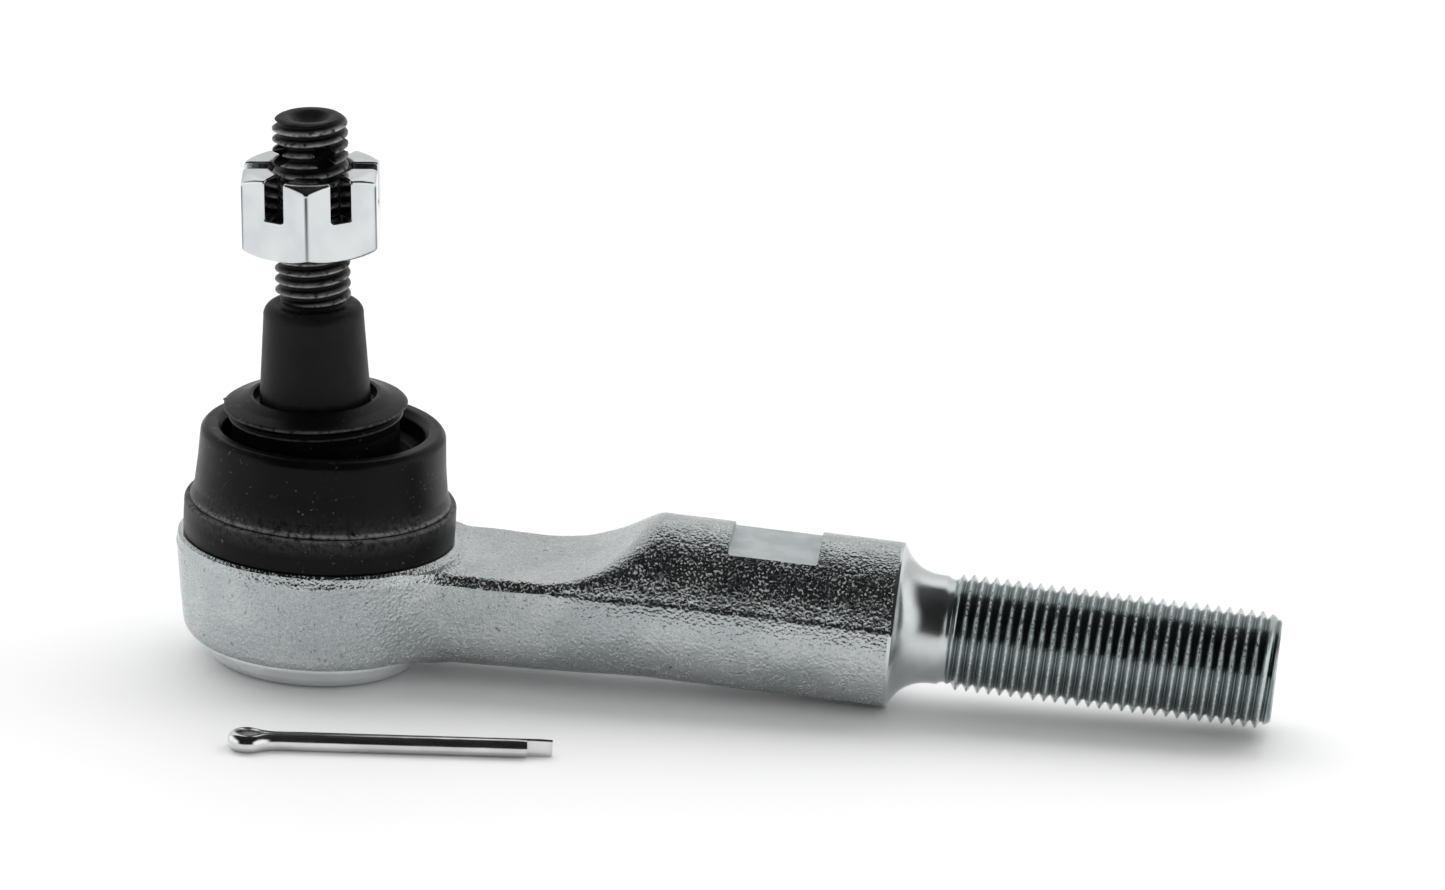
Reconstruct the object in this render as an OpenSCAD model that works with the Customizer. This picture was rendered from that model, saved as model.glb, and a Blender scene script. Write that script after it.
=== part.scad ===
// Outer tie rod end: a forged ball socket with a drooped threaded shank,
// a leaning ball stud with castle nut, a folded dust boot and a loose cotter pin.
// Origin: centre of the ball. +Z: socket axis, nut end up. +X: along the shank.

/* [Socket] */
// Ball radius
ball_r = 13.5; // [12.5:0.1:13.8]
// Running clearance of the bearings on the ball and in the cavity
fit = 0.05; // [0.02:0.01:0.08]
// Cavity radius
cavity_r = 17.55; // [17:0.05:18]
// Largest outside radius of the socket eye
eye_r = 27; // [26:0.1:29]
// Height of the rim face that the boot band stands on
rim_z = 3.9; // [3:0.1:4.5]
// Outside radius of the raised neck inside the boot
collar_r = 22.5; // [22:0.1:22.8]
// Top of the raised neck
collar_z = 10.5; // [10:0.1:11]
// Bottom face of the eye
eye_bottom = 15.7; // [15:0.1:16.2]

/* [End cover] */
// Radius of the cover where it meets the eye
cover_r = 22.7; // [22:0.1:23.4]
// Distance from the ball centre down to the flat that the part rests on
cover_bottom = 20.9; // [20.6:0.1:21.6]
// Radius of that flat
cover_flat_r = 17.6; // [16:0.1:18.5]
// Sheet thickness at the flat
cover_t = 2.8; // [2.6:0.1:3]

/* [Shank] */
// Droop of the shank below square to the socket axis, degrees
droop = 2.6; // [0:0.1:2.8]
// Radius of the round body
body_r = 15.9; // [15:0.1:16]
// Where the body reaches its full height
body_start = 66; // [64:0.5:70]
// End of the round body
body_end = 110.8; // [108:0.1:114]
// Half width of the flat topped arm
arm_w = 16; // [15:0.1:17]
// Radius of the arm's round underside where it leaves the eye
arm_root_r = 18; // [16:0.1:18.2]
// Height of the arm's flat top above the shank axis
arm_top = 4.3; // [3:0.1:6]
// Radius of the concave rise from arm to body
arm_rise_r = 24; // [20:0.5:25]
// Distance of the milled flat from the shank axis
flat_d = 12.7; // [12.5:0.1:14]
// Start of the milled flat
flat_start = 78.2; // [76:0.1:80]
// Length of the milled flat
flat_l = 17; // [14:0.5:19]

/* [Shank thread] */
// Major diameter, 7/8 inch
thread_d = 22.22; // [20:0.01:24]
// Pitch, 12 threads per inch
thread_p = 2.117; // [1.5:0.001:2.5]
// First full crest
thread_start = 122.4; // [121:0.1:124]
// Number of crests
thread_n = 29; // [20:1:34]
// Radius of the necked part before the thread
neck_r = 10.4; // [9.9:0.05:10.5]

/* [Ball stud] */
// Lean of the stud in the socket, degrees
lean = 3.6; // [0:0.1:6]
// Side that the stud leans to, degrees from -X towards -Y
lean_side = 25.5; // [0:0.5:90]
// Radius of the neck above the ball
stud_neck_r = 8.3; // [7.5:0.1:8.6]
// Small end radius of the taper
taper_r = 9.5; // [9.2:0.05:9.6]
// Height of the small end of the taper
taper_z = 47.4; // [45:0.1:50]
// Length of the 1:8 taper
taper_l = 25.4; // [22:0.1:26]
// Top of the rounded shoulder
shoulder_z = 50.1; // [49:0.1:53]
// Thread major diameter, 9/16 inch
stud_d = 14.28; // [13:0.01:14.3]
// Tip of the stud
stud_tip = 86.8; // [85:0.1:90]
// Diameter of the two cotter holes
cotter_hole_d = 4.6; // [4.2:0.1:5]
// Height of the two cotter holes
cotter_hole_z = 80.2; // [80:0.1:80.9]
// Height difference between the two cotter holes
hole_step = 0.3; // [0.3:0.1:0.5]

/* [Castle nut] */
// Across flats, 1 inch
nut_af = 25.4; // [24:0.1:27]
// Height of the nut
nut_h = 15.6; // [14:0.1:15.8]
// Height of the seating face above the ball centre
nut_z = 61.5; // [54:0.1:61.8]
// Width of the six slots
slot_w = 4.2; // [3.5:0.1:5]
// Depth of the six slots
slot_d = 7.9; // [6:0.1:8.5]
// Turn of the nut about the stud, degrees
nut_turn = -26; // [-30:1:30]

/* [Dust boot] */
// Outside radius of the clamp band
band_r = 25.85; // [25.3:0.05:26.2]
// Top of the clamp band
band_top = 10.6; // [10:0.1:11]
// Outside radius of the drum at its base
drum_r = 24.2; // [24:0.05:24.6]
// Outside radius of the drum just below its rim
drum_top_r = 23.15; // [22.6:0.05:23.6]
// Height of the rim
drum_z = 25.2; // [24.5:0.1:26.5]
// Radius of the opening inside the rim
drum_in_r = 19.2; // [18.8:0.1:19.6]
// Outside radius of the collar round the stud
boot_neck_r = 15.9; // [15.4:0.1:16.3]
// Outside radius of the lip on top of the collar
boot_lip_r = 17.3; // [17:0.1:17.8]
// Height of the lip along the stud
boot_lip_z = 30.1; // [29.4:0.1:30.8]

/* [Cotter pin] */
// Diameter over both legs
pin_d = 3.6; // [3:0.1:4]
// Length from the eye's centre to the tip of the long leg
pin_l = 56.6; // [40:0.1:64]
// How much shorter the near leg is
pin_step = 4.8; // [0:0.1:8]
// Gap between the legs
pin_gap = 0.3; // [0.2:0.05:0.6]
// Inside radius of the eye
pin_eye_r = 2.1; // [1.8:0.1:2.6]
// Place of the eye on the surface the part rests on, X then Y
pin_x = -5.2; // [-12:0.1:4]
// Place of the eye, Y
pin_y = -54.6; // [-64:0.1:-52]
// Direction of the pin on that surface, degrees from +X
pin_turn = 9; // [0:0.1:12]

/* [Hidden] */
$fn = 96;

zinc = [0.70, 0.73, 0.74];
chrome = [0.80, 0.82, 0.83];
phosphate = [0.16, 0.16, 0.17];
rubber = [0.05, 0.05, 0.055];
polymer = [0.86, 0.84, 0.76];
spring_steel = [0.35, 0.36, 0.38];

thread_h = 0.5413 * thread_p + 0.155;      // height of one thread, crest flat to root
thread_r = thread_d / 2;
thread_root = thread_r - thread_h;
thread_end = thread_start + (thread_n - 1) * thread_p + 1.7;
stud_r = stud_d / 2;
stud_root = stud_r - thread_h;
stud_crests = floor((stud_tip - shoulder_z) / thread_p) + 1;
seat_r = ball_r + fit;
bearing_r = cavity_r - fit;
seat_top = 5.8;
swing = 22;

function taper_at(z) = taper_r + (taper_z - z) / 16;

// Half outline of a run of thread crests: n crests of pitch p from z0 up
function crests(r, root, p, n, z0) = [for (i = [0 : n - 1]) each [
    [root, z0 + i * p - 0.44 * p], [r, z0 + i * p - 0.0625 * p],
    [r, z0 + i * p + 0.0625 * p], [root, z0 + i * p + 0.44 * p]]];

// Turns a shape drawn along +Z so that it runs along the shank
module along_shank() { rotate([0, droop, 0]) rotate([0, 90, 0]) rotate([0, 0, 90]) children(); }
module along_stud() { rotate([0, 0, lean_side]) rotate([0, -lean, 0]) rotate([0, 0, -lean_side]) children(); }

// Round parts of the eye, outside
module eye_outline() {
    polygon([[0, -eye_bottom], [cover_r, -eye_bottom], [cover_r + 1.4, -eye_bottom + 0.5],
             [eye_r - 2.1, -eye_bottom + 1.9], [eye_r - 1.2, -9.2], [eye_r, -0.6], [eye_r, 0.6],
             [eye_r - 0.25, rim_z - 0.5], [eye_r - 0.75, rim_z], [collar_r, rim_z],
             [collar_r, collar_z - 0.8], [collar_r - 0.8, collar_z], [0, collar_z]]);
}

// Section of the arm: flat top, drafted sides, round underside
module arm_section() {
    intersection() {
        union() {
            circle(r = body_r);
            polygon([[-arm_w, 0], [-arm_w + 0.6, arm_top], [arm_w - 0.6, arm_top],
                     [arm_w, 0], [arm_w - 1.2, -5], [-arm_w + 1.2, -5]]);
        }
        translate([-30, -30]) square([60, 30 + arm_top]);
    }
}

module shank_solid() {
    neck_blend = 8;
    along_shank() {
        linear_extrude(height = body_start - 2) arm_section();
        // underside, deepest at the eye
        intersection() {
            cylinder(r1 = arm_root_r, r2 = body_r, h = body_start);
            translate([-30, -30, 12]) cube([60, 30 + arm_top, body_start]);
        }
        rotate_extrude() {
            polygon([[0, body_start - 17], [body_r - 1, body_start - 17], [body_r, body_start - 16],
                     [body_r, body_end - 0.4], [body_r - 0.3, body_end], [0, body_end]]);
            difference() {
                translate([0, body_end - 1]) square([body_r - 1, thread_start - 3 - body_end + 1]);
                translate([neck_r + neck_blend, body_end + 7.6]) circle(r = neck_blend);
                translate([neck_r, body_end + 7.6]) square([10, 10]);
            }
            intersection() {
                polygon(concat([[0, thread_start - 3.2], [neck_r - 0.2, thread_start - 3.2],
                    [thread_root, thread_start - 1.6]],
                    crests(thread_r, thread_root, thread_p, thread_n, thread_start),
                    [[thread_root, thread_end + 1], [0, thread_end + 1]]));
                // chamfered end
                polygon([[0, 0], [40, 0], [40, thread_end - 6], [thread_r + 1.6, thread_end - 3],
                         [thread_r - 1.4, thread_end], [0, thread_end]]);
            }
        }
    }
}

// What the forging dies and the mill leave out of the shank
module shank_cuts() {
    rise_x = body_start - 23.5;
    rotate([0, droop, 0]) {
        // concave rise from the arm's flat top to the round body
        difference() {
            translate([eye_r - 8, -30, arm_top]) cube([body_start - 2 - eye_r + 8, 60, 20]);
            difference() {
                translate([rise_x, -31, arm_top]) cube([30, 62, 21]);
                translate([rise_x, 0, arm_top + arm_rise_r]) rotate([90, 0, 0])
                    cylinder(r = arm_rise_r, h = 64, center = true);
            }
        }
        translate([flat_start, -20, flat_d]) cube([flat_l, 40, 10]);
    }
}

module housing_forging() {
    color(zinc)
    difference() {
        union() {
            rotate_extrude() eye_outline();
            difference() {
                shank_solid();
                shank_cuts();
                translate([0, 0, collar_z - 8]) cylinder(r = eye_r - 1, h = 60);
            }
        }
        // cavity, open below, with a conical mouth above
        rotate_extrude() polygon([[0, -eye_bottom - 30], [19.5, -eye_bottom - 30],
            [19.5, -eye_bottom + 1.5], [cavity_r, -eye_bottom + 1.5], [cavity_r, 8.6],
            [13.7, 8.6], [14.8, collar_z + 1], [0, collar_z + 1]]);
        // the arm stops short of the cover
        translate([0, 0, -eye_bottom - 30]) cylinder(r = cover_r + 0.5, h = 30);
    }
}

module upper_bearing() {
    color(polymer)
    rotate_extrude() difference() {
        polygon([[0, -0.9], [cavity_r, -0.9], [cavity_r, 8.6], [13.5, 8.6],
                 [12.8, seat_top], [0, seat_top]]);
        circle(r = seat_r);
        translate([-1, -5]) square([1, 20]);
    }
}

module lower_bearing() {
    color(polymer)
    rotate_extrude() difference() {
        polygon([[5, -1.5], [bearing_r, -1.5], [bearing_r, -13.2], [bearing_r - 0.7, -13.9], [5, -13.9]]);
        circle(r = seat_r);
    }
}

module preload_spring() {
    color(spring_steel)
    rotate_extrude() polygon([[6.2, -15.1], [7.2, -13.9], [8.2, -13.9],
        [15.6, cover_t - cover_bottom + 1.1], [15.6, cover_t - cover_bottom], [14.6, cover_t - cover_bottom]]);
}

module end_cover() {
    lip = cover_r;
    color(chrome)
    rotate_extrude() difference() {
        polygon([[0, -cover_bottom], [cover_flat_r, -cover_bottom],
                 [cover_flat_r + 1.5, -cover_bottom + 0.35], [cover_flat_r + 3.1, -cover_bottom + 1.5],
                 [lip - 0.8, -cover_bottom + 3.4], [lip, -eye_bottom - 0.6], [lip, -eye_bottom],
                 [19.5, -eye_bottom], [19.5, -eye_bottom + 1.5], [0, -eye_bottom + 1.5]]);
        polygon([[-1, -cover_bottom + cover_t], [16.2, -cover_bottom + cover_t],
                 [17, -eye_bottom], [17, 0], [-1, 0]]);
        translate([-60, -60]) square([60, 100]);
    }
}

module ball_stud() {
    color(phosphate)
    along_stud() difference() {
        union() {
            sphere(r = ball_r);
            rotate_extrude() intersection() {
                polygon(concat(
                    [[0, 0], [stud_neck_r + 0.9, 9.9], [stud_neck_r + 0.2, 10.9], [stud_neck_r, 12],
                     [stud_neck_r, taper_z - taper_l - 5],
                     [taper_at(taper_z - taper_l) - 0.5, taper_z - taper_l - 0.8],
                     [taper_at(taper_z - taper_l), taper_z - taper_l], [taper_r, taper_z]],
                    [for (a = [10 : 10 : 90]) [taper_r - 2.1 + 2.1 * cos(a), shoulder_z - 2.1 + 2.1 * sin(a)]],
                    [[stud_root + 0.9, shoulder_z - 0.9], [stud_root, shoulder_z - 0.7]],
                    crests(stud_r, stud_root, thread_p, stud_crests, shoulder_z + 1.2),
                    [[0, stud_tip + 3]]));
                // blunt chamfered tip
                polygon([[0, 0], [20, 0], [20, taper_z], [stud_r + 1, stud_tip - 3],
                         [stud_r - 0.55, stud_tip - 0.9], [stud_r - 1.7, stud_tip], [0, stud_tip]]);
            }
        }
        for (a = [32, -58])
            translate([0, 0, cotter_hole_z + sign(a) * hole_step / 2]) rotate([0, 0, a]) rotate([90, 0, 0])
                cylinder(d = cotter_hole_d, h = 40, center = true);
        // small chamber where the two holes meet
        translate([0, 0, cotter_hole_z]) sphere(d = cotter_hole_d * 1.4143 + hole_step + 0.3);
        // shallow turned dish in the tip
        translate([0, 0, stud_tip + 1.6]) sphere(r = 3.4);
    }
}

// The drum stands on the housing; the collar follows the stud
module dust_boot() {
    skirt_in = collar_r + fit;
    skirt_out = drum_r - 0.15;
    color(rubber)
    difference() {
        union() {
            rotate_extrude() difference() {
                union() {
                    polygon([[skirt_in, rim_z + 0.1], [skirt_out, rim_z + 0.1], [skirt_out, band_top + 0.2],
                             [drum_r, band_top + 0.4], [drum_top_r, drum_z - 3],
                             [drum_in_r, drum_z - 3], [drum_in_r, 19.4], [16.4, 17.6], [16.4, 15.2],
                             [21, 17], [21.6, 13], [skirt_in, 11.5]]);
                    translate([(drum_top_r + drum_in_r) / 2, drum_z - (drum_top_r - drum_in_r) / 2 - 0.6])
                        circle(d = drum_top_r - drum_in_r);
                    translate([drum_in_r, drum_z - 3.2]) square([drum_top_r - drum_in_r, 0.7]);
                }
            }
            along_stud() rotate_extrude() polygon([[13.3, 17.4], [17.2, 16.2], [17.6, 18.2], [boot_neck_r, 20.4],
                [boot_neck_r, boot_lip_z - 2.2], [boot_lip_r - 0.3, boot_lip_z - 0.5], [boot_lip_r, boot_lip_z],
                [11.6, boot_lip_z + 2], [11.6, boot_lip_z - 0.1], [13.3, boot_lip_z - 0.1]]);
        }
    }
}

module boot_clamp_ring() {
    color(rubber)
    rotate_extrude() polygon([[drum_r - 0.1, rim_z], [band_r - 0.4, rim_z], [band_r, rim_z + 0.4],
        [band_r, band_top - 0.4], [band_r - 0.4, band_top], [drum_r - 0.1, band_top]]);
}

module boot_neck_ring() {
    a = taper_z - taper_l + 0.6;
    b = boot_lip_z - 0.1;
    color(polymer)
    along_stud() rotate_extrude() polygon([[taper_at(a) + fit, a], [13.3, a], [13.3, b], [taper_at(b) + fit, b]]);
}

module castle_nut() {
    corner = nut_af / sqrt(3);
    color(chrome)
    along_stud() translate([0, 0, nut_z]) rotate([0, 0, nut_turn]) difference() {
        intersection() {
            cylinder(r = corner, h = nut_h, $fn = 6);
            rotate_extrude() polygon([[0, 0], [nut_af / 2 - 0.2, 0], [corner + 0.05, 1.25],
                [corner + 0.05, nut_h - 1.7], [nut_af / 2 - 0.6, nut_h], [0, nut_h]]);
        }
        translate([0, 0, -1]) cylinder(r = stud_r + 0.06, h = nut_h + 2);
        translate([0, 0, -0.01]) cylinder(r1 = stud_r + 0.9, r2 = stud_r + 0.06, h = 0.9);
        translate([0, 0, nut_h - 0.89]) cylinder(r1 = stud_r + 0.06, r2 = stud_r + 0.9, h = 0.9);
        for (i = [0 : 2]) rotate([0, 0, 30 + 60 * i])
            translate([-nut_af, -slot_w / 2, nut_h - slot_d]) cube([2 * nut_af, slot_w, slot_d + 1]);
    }
}

// Half of a round wire, flat on the side towards the other leg
module half_wire() {
    intersection() {
        circle(d = pin_d, $fn = 32);
        translate([0, -pin_d]) square([pin_d, 2 * pin_d]);
    }
}

module cotter_leg(len) {
    translate([pin_eye_r + 0.5, pin_gap / 2, 0]) rotate([90, 0, 90])
        linear_extrude(height = len - pin_eye_r - 0.5) half_wire();
}

module cotter_pin() {
    color(chrome)
    translate([pin_x, pin_y, pin_d / 2 - cover_bottom]) rotate([0, 0, pin_turn]) {
        rotate_extrude(angle = 336, start = 12) translate([pin_eye_r, 0]) half_wire();
        cotter_leg(pin_l);
        mirror([0, 1, 0]) cotter_leg(pin_l - pin_step);
    }
}

housing_forging();
upper_bearing();
lower_bearing();
preload_spring();
end_cover();
ball_stud();
dust_boot();
boot_clamp_ring();
boot_neck_ring();
castle_nut();
cotter_pin();
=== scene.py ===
import math
import bpy
import bmesh
import numpy as np
from mathutils import Matrix, Vector


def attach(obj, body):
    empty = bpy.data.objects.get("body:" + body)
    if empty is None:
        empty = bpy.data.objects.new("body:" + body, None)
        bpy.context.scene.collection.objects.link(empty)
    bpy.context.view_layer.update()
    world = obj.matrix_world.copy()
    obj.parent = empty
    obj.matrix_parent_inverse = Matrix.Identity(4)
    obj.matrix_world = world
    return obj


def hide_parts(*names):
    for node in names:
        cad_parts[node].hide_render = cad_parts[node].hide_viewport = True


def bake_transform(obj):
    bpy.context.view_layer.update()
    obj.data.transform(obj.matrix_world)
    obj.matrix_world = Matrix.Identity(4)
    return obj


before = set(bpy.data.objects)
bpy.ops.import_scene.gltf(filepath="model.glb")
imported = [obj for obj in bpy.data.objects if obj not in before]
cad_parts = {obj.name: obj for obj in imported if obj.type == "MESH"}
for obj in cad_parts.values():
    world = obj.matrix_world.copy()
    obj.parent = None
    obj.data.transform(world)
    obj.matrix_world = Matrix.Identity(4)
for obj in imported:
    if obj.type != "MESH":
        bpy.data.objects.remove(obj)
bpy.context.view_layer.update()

MM = 0.001
scene = bpy.context.scene
rng = np.random.default_rng(7)


def rad(d):
    return d * math.pi / 180.0


# ---------------------------------------------------------------- sizes, millimetres, as the CAD has them
DROOP = 2.6
LEAN, LEAN_SIDE = 3.6, 25.5
FLOOR = -20.9
THREAD_P = 2.117
THREAD_R = 11.11
THREAD_START = 122.4
THREAD_N = 29
THREAD_END = THREAD_START + (THREAD_N - 1) * THREAD_P + 1.7
BODY_END = 110.8
BODY_R = 15.9
NECK_R = 10.4
STUD_R = 7.14
STUD_TIP = 86.8
SHOULDER = 50.1
TAPER_R, TAPER_Z, TAPER_L = 9.5, 47.4, 25.4


def rot_z(a):
    c, s = math.cos(a), math.sin(a)
    return np.array([[c, -s, 0], [s, c, 0], [0, 0, 1.0]])


def rot_y(a):
    c, s = math.cos(a), math.sin(a)
    return np.array([[c, 0, s], [0, 1.0, 0], [-s, 0, c]])


# shank frame: local x runs along the shank; stud frame: local z runs along the stud
SHANK = rot_y(rad(DROOP))
STUD = rot_z(rad(LEAN_SIDE)) @ rot_y(rad(-LEAN)) @ rot_z(rad(-LEAN_SIDE))

# ---------------------------------------------------------------- camera
AZ, EL, ROLL = 4.173, 17.996, 3.323
DIST, AIM_R, AIM_U, FOCAL_PX = 1713.056, 75.627, 24.707, 9000.0


def make_camera():
    a, e, r = rad(AZ), rad(EL), rad(ROLL)
    back = Vector((math.sin(a) * math.cos(e), -math.cos(a) * math.cos(e), math.sin(e)))
    right = Vector((math.cos(a), math.sin(a), 0))
    up = Vector((-math.sin(a) * math.sin(e), math.cos(a) * math.sin(e), math.cos(e)))
    x = math.cos(r) * right + math.sin(r) * up
    y = math.cos(r) * up - math.sin(r) * right
    aim = right * AIM_R + up * AIM_U
    loc = (aim + back * DIST) * MM
    m = Matrix((x, y, back)).transposed().to_4x4()
    m.translation = loc
    data = bpy.data.cameras.new("camera")
    data.sensor_fit = 'HORIZONTAL'
    data.sensor_width = 36.0
    data.lens = FOCAL_PX / 1445.0 * 36.0
    data.clip_start, data.clip_end = 0.05, 20.0
    data.dof.use_dof = False
    cam = bpy.data.objects.new("camera", data)
    scene.collection.objects.link(cam)
    cam.matrix_world = m
    scene.camera = cam


# ---------------------------------------------------------------- mesh helpers
def new_object(name, verts, quads=None, tris=None):
    """An object from numpy arrays, in millimetres."""
    verts = np.asarray(verts, float)
    parts, starts, at = [], [], 0
    for faces, n in ((quads, 4), (tris, 3)):
        if faces is not None and len(faces):
            faces = np.asarray(faces, np.int32)
            parts.append(faces.ravel())
            starts.append(at + np.arange(len(faces)) * n)
            at += len(faces) * n
    loops = np.concatenate(parts).astype(np.int32)
    starts = np.concatenate(starts).astype(np.int32)
    me = bpy.data.meshes.new(name)
    me.vertices.add(len(verts))
    me.vertices.foreach_set("co", (verts * MM).astype(np.float32).ravel())
    me.loops.add(len(loops))
    me.loops.foreach_set("vertex_index", loops)
    me.polygons.add(len(starts))
    me.polygons.foreach_set("loop_start", starts)
    me.update(calc_edges=True)
    me.validate()
    ob = bpy.data.objects.new(name, me)
    scene.collection.objects.link(ob)
    return ob


def place(ob, m3):
    """Turns the mesh itself by a 3x3 matrix about the frame's origin."""
    ob.data.transform(Matrix([list(map(float, r)) for r in m3]).to_4x4())
    ob.data.update()
    return ob


def soften(ob, angle=32.0):
    """Smooth shading with edges sharper than the angle kept hard."""
    bm = bmesh.new()
    bm.from_mesh(ob.data)
    bmesh.ops.remove_doubles(bm, verts=bm.verts, dist=2e-7)
    bmesh.ops.dissolve_degenerate(bm, edges=bm.edges, dist=1e-7)
    bmesh.ops.recalc_face_normals(bm, faces=bm.faces)
    limit = rad(angle)
    for f in bm.faces:
        f.smooth = True
    for e in bm.edges:
        e.smooth = not (len(e.link_faces) == 2 and e.calc_face_angle(0.0) > limit)
    bm.to_mesh(ob.data)
    bm.free()
    ob.data.update()
    return ob


def revolve(name, prof, n=160, m3=None, start=0.0):
    """A closed solid turned about z from a closed or axis-to-axis list of (r, z), millimetres."""
    prof = [tuple(map(float, p)) for p in prof]
    closed = prof[0][0] > 1e-6 or prof[-1][0] > 1e-6
    area = sum(a[0] * b[1] - b[0] * a[1] for a, b in zip(prof, prof[1:] + prof[:1]))
    if area < 0:
        prof = prof[::-1]
    ang = start + np.arange(n) * 2 * math.pi / n
    ring = np.stack([np.cos(ang), np.sin(ang)], -1)
    verts, rows = [], []
    for r, z in prof:
        if r < 1e-6:
            rows.append(('p', len(verts)))
            verts.append((0, 0, z))
        else:
            rows.append(('r', len(verts)))
            verts.extend([(r * c, r * s, z) for c, s in ring])
    quads, tris = [], []
    count = len(rows)
    for i in range(count if closed else count - 1):
        (ka, a), (kb, b) = rows[i], rows[(i + 1) % count]
        for j in range(n):
            k = (j + 1) % n
            if ka == 'r' and kb == 'r':
                quads.append((a + j, a + k, b + k, b + j))
            elif ka == 'p' and kb == 'r':
                tris.append((a, b + k, b + j))
            elif ka == 'r' and kb == 'p':
                tris.append((a + j, a + k, b))
    ob = new_object(name, verts, quads, tris)
    if m3 is not None:
        place(ob, m3)
    return ob


def arc(cx, cz, r, a0, a1, n):
    """Points of an arc in the (r, z) plane, degrees."""
    return [(cx + r * math.cos(rad(a0 + (a1 - a0) * i / n)), cz + r * math.sin(rad(a0 + (a1 - a0) * i / n)))
            for i in range(n + 1)]


def fillet(points, radii, n=6):
    """Rounds the corners of an open (r, z) line; radii has one entry a point, 0 to keep it sharp."""
    out = []
    for i, (p, r) in enumerate(zip(points, radii)):
        p = np.array(p, float)
        if r <= 0 or i in (0, len(points) - 1):
            out.append(tuple(p))
            continue
        a = np.array(points[i - 1], float) - p
        b = np.array(points[i + 1], float) - p
        la, lb = np.linalg.norm(a), np.linalg.norm(b)
        a, b = a / la, b / lb
        half = math.acos(max(-1, min(1, float(a @ b)))) / 2
        if half > math.pi / 2 - 0.01:
            out.append(tuple(p))
            continue
        d = min(r / math.tan(half), 0.49 * la, 0.49 * lb)
        rr = d * math.tan(half)
        c = p + (a + b) / np.linalg.norm(a + b) * (rr / math.sin(half))
        p0, p1 = p + a * d - c, p + b * d - c
        t0 = math.atan2(p0[1], p0[0])
        dt = math.atan2(p0[0] * p1[1] - p0[1] * p1[0], float(p0 @ p1))
        for k in range(n + 1):
            t = t0 + dt * k / n
            out.append((c[0] + rr * math.cos(t), c[1] + rr * math.sin(t)))
    return out


def boolean(ob, cutter, how):
    mod = ob.modifiers.new("cut", 'BOOLEAN')
    mod.object = cutter
    mod.operation = how
    mod.solver = 'MANIFOLD'
    bpy.context.view_layer.update()
    dg = bpy.context.evaluated_depsgraph_get()
    me = bpy.data.meshes.new_from_object(ob.evaluated_get(dg))
    ob.modifiers.remove(mod)
    old = ob.data
    ob.data = me
    bpy.data.meshes.remove(old)
    bpy.data.objects.remove(cutter)
    return ob


def vertices(ob):
    v = np.empty(len(ob.data.vertices) * 3, np.float32)
    ob.data.vertices.foreach_get("co", v)
    return v.reshape(-1, 3).astype(float) / MM


# ---------------------------------------------------------------- solid noise and signed distances
_perm = rng.permutation(512)
_rand = rng.random(512) * 2 - 1


def noise3(p, size):
    """Smooth value noise in -1..1 with features about size millimetres."""
    q = p / size
    i = np.floor(q).astype(np.int64)
    f = q - i
    f = f * f * f * (f * (f * 6 - 15) + 10)
    out = 0
    for dx in (0, 1):
        wx = f[..., 0] if dx else 1 - f[..., 0]
        hx = _perm[(i[..., 0] + dx) & 511]
        for dy in (0, 1):
            wy = f[..., 1] if dy else 1 - f[..., 1]
            hy = _perm[(hx + i[..., 1] + dy) & 511]
            for dz in (0, 1):
                wz = f[..., 2] if dz else 1 - f[..., 2]
                out = out + wx * wy * wz * _rand[(hy + i[..., 2] + dz) & 511]
    return out


def smax(a, b, k):
    h = np.clip(0.5 + 0.5 * (a - b) / k, 0, 1)
    return b + (a - b) * h + k * h * (1 - h)


def smin(a, b, k):
    return -smax(-a, -b, k)


def poly_sd(x, z, pts):
    """Signed distance to a closed polygon."""
    pts = np.array(pts, float)
    d = np.full(x.shape, 1e9)
    inside = np.zeros(x.shape, bool)
    n = len(pts)
    for i in range(n):
        a, b = pts[i], pts[(i + 1) % n]
        e = b - a
        wx, wz = x - a[0], z - a[1]
        t = np.clip((wx * e[0] + wz * e[1]) / (e @ e), 0, 1)
        d = np.minimum(d, (wx - e[0] * t) ** 2 + (wz - e[1] * t) ** 2)
        if a[1] != b[1]:
            cross = ((a[1] <= z) & (b[1] > z)) | ((b[1] <= z) & (a[1] > z))
            xi = a[0] + (z - a[1]) * e[0] / e[1]
            inside ^= cross & (x < xi)
    return np.where(inside, -np.sqrt(d), np.sqrt(d))


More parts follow.
